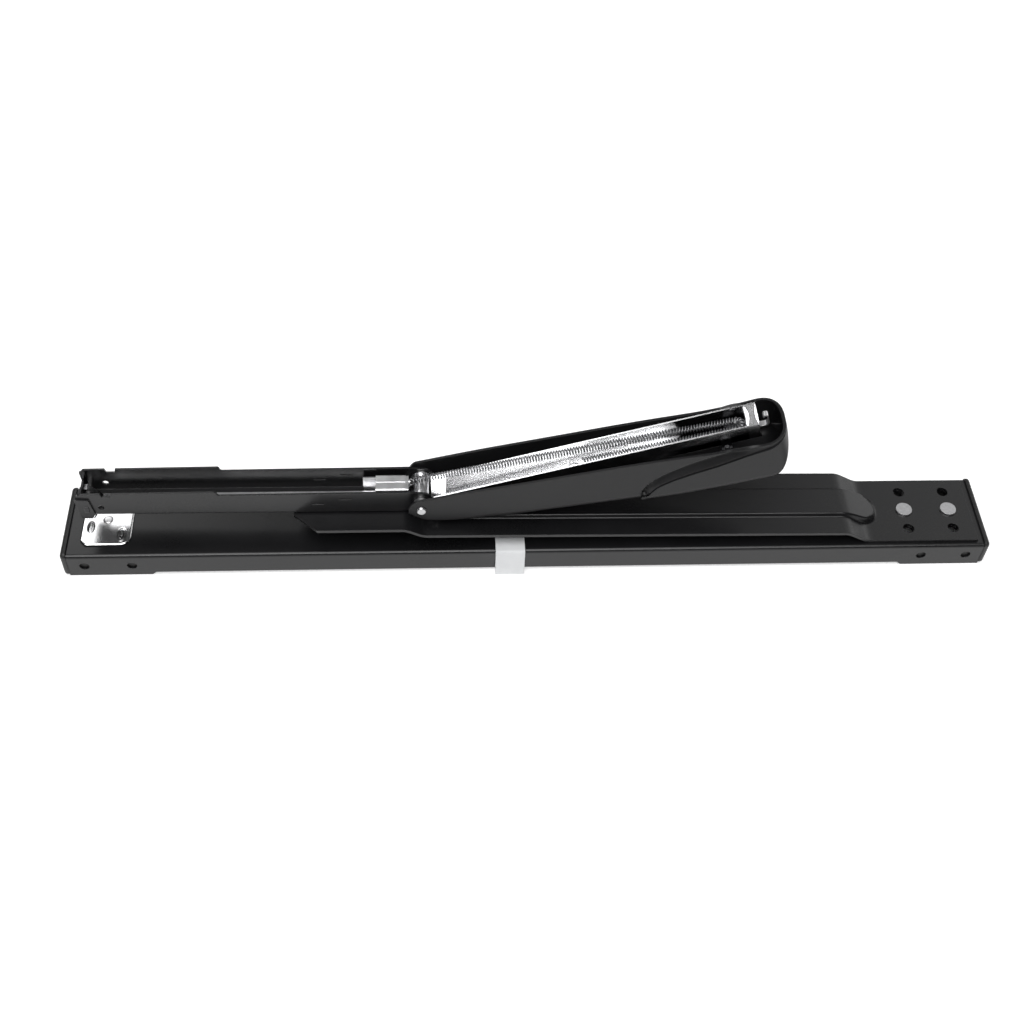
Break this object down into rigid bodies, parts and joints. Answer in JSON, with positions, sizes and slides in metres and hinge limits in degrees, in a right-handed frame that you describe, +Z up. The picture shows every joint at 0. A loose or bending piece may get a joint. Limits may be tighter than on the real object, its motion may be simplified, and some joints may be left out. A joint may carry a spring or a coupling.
{
  "type": "long reach stapler",
  "caption": "Long reach desk stapler with a sheet-steel base channel, a riveted pressed arm, a staple magazine and a flip-over handle with its spring-fed pusher.",
  "frame": {"origin": "middle of the base's rest face", "axes": "+X along the base from the nose to the rear rivets, +Y across the width, +Z up"},
  "size_m": [0.4148, 0.0456, 0.08],
  "materials": {
    "black_enamel": "satin black enamel on sheet steel",
    "bright_chrome": "bright nickel-chrome plate",
    "zinc_rivet": "satin zinc plate",
    "spring_steel": "bright drawn spring wire",
    "hard_steel": "dark hardened steel",
    "black_shell": "fine-grained black ABS",
    "black_cap": "black nylon",
    "pale_plastic": "pale grey plastic"
  },
  "bodies": {
    "base": {"base_channel": "black_enamel", "front_end_cap": "black_cap", "rear_end_cap": "black_cap", "long_arm": "black_enamel", "rear_rivets": "zinc_rivet"},
    "paper_stop": {"paper_stop": "pale_plastic"},
    "anvil": {"anvil_plate": "bright_chrome", "anvil_pivot": "bright_chrome", "anvil_spring": "spring_steel", "anvil_button": "black_cap"},
    "magazine": {"magazine_channel": "black_enamel", "magazine_rivets": "black_enamel", "staple_rail": "bright_chrome", "nose_guide": "black_enamel", "driver_spring": "spring_steel"},
    "pusher": {"pusher": "bright_chrome", "pusher_hook": "bright_chrome"},
    "hinge": {"hinge_sleeve": "bright_chrome", "pusher_spring": "spring_steel"},
    "handle": {"handle_shell": "black_shell", "press_pad": "black_shell", "lever_channel": "bright_chrome", "lever_screws": "zinc_rivet", "spring_post": "zinc_rivet", "closing_hook": "bright_chrome", "hinge_rivet": "zinc_rivet"},
    "driver": {"driver_blade": "hard_steel"}
  },
  "joints": [
    {"name": "stop_slide", "type": "slide", "parent": "base", "child": "paper_stop", "axis": [-1, 0, 0], "range_m": [-0.12, 0.15]},
    {"name": "anvil_turn", "type": "hinge", "parent": "base", "child": "anvil", "pos_m": [-0.1886, 0, 0.0135], "axis": [0, 0, 1], "range_deg": [0, 180]},
    {"name": "arm_flex", "type": "hinge", "parent": "base", "child": "magazine", "pos_m": [0.09, 0, 0.019], "axis": [0, -1, 0], "range_deg": [0, 2.2], "stiffness_Nm_per_rad": 60, "springref_deg": -1.72, "deforming": ["long_arm"]},
    {"name": "pusher_slide", "type": "slide", "parent": "magazine", "child": "pusher", "axis": [-1, 0, 0], "range_m": [0, 0.117]},
    {"name": "cover_open", "type": "hinge", "parent": "magazine", "child": "hinge", "pos_m": [-0.0494, 0, 0.0327], "axis": [0, -1, 0], "range_deg": [-4, 158.7], "deforming": ["pusher_spring"]},
    {"name": "handle_press", "type": "hinge", "parent": "hinge", "child": "handle", "pos_m": [-0.0494, 0, 0.0327], "axis": [0, -1, 0], "range_deg": [0, 2.4], "stiffness_Nm_per_rad": 1.5, "springref_deg": -6.88, "deforming": ["driver_spring", "pusher_spring"]},
    {"name": "driver_slide", "type": "slide", "parent": "magazine", "child": "driver", "axis": [0, 0, -1], "range_m": [0, 0.0065]}
  ],
  "couplings": [
    {"joint": "driver_slide", "follows": "handle_press", "m_per_rad": 0.14563}
  ]
}
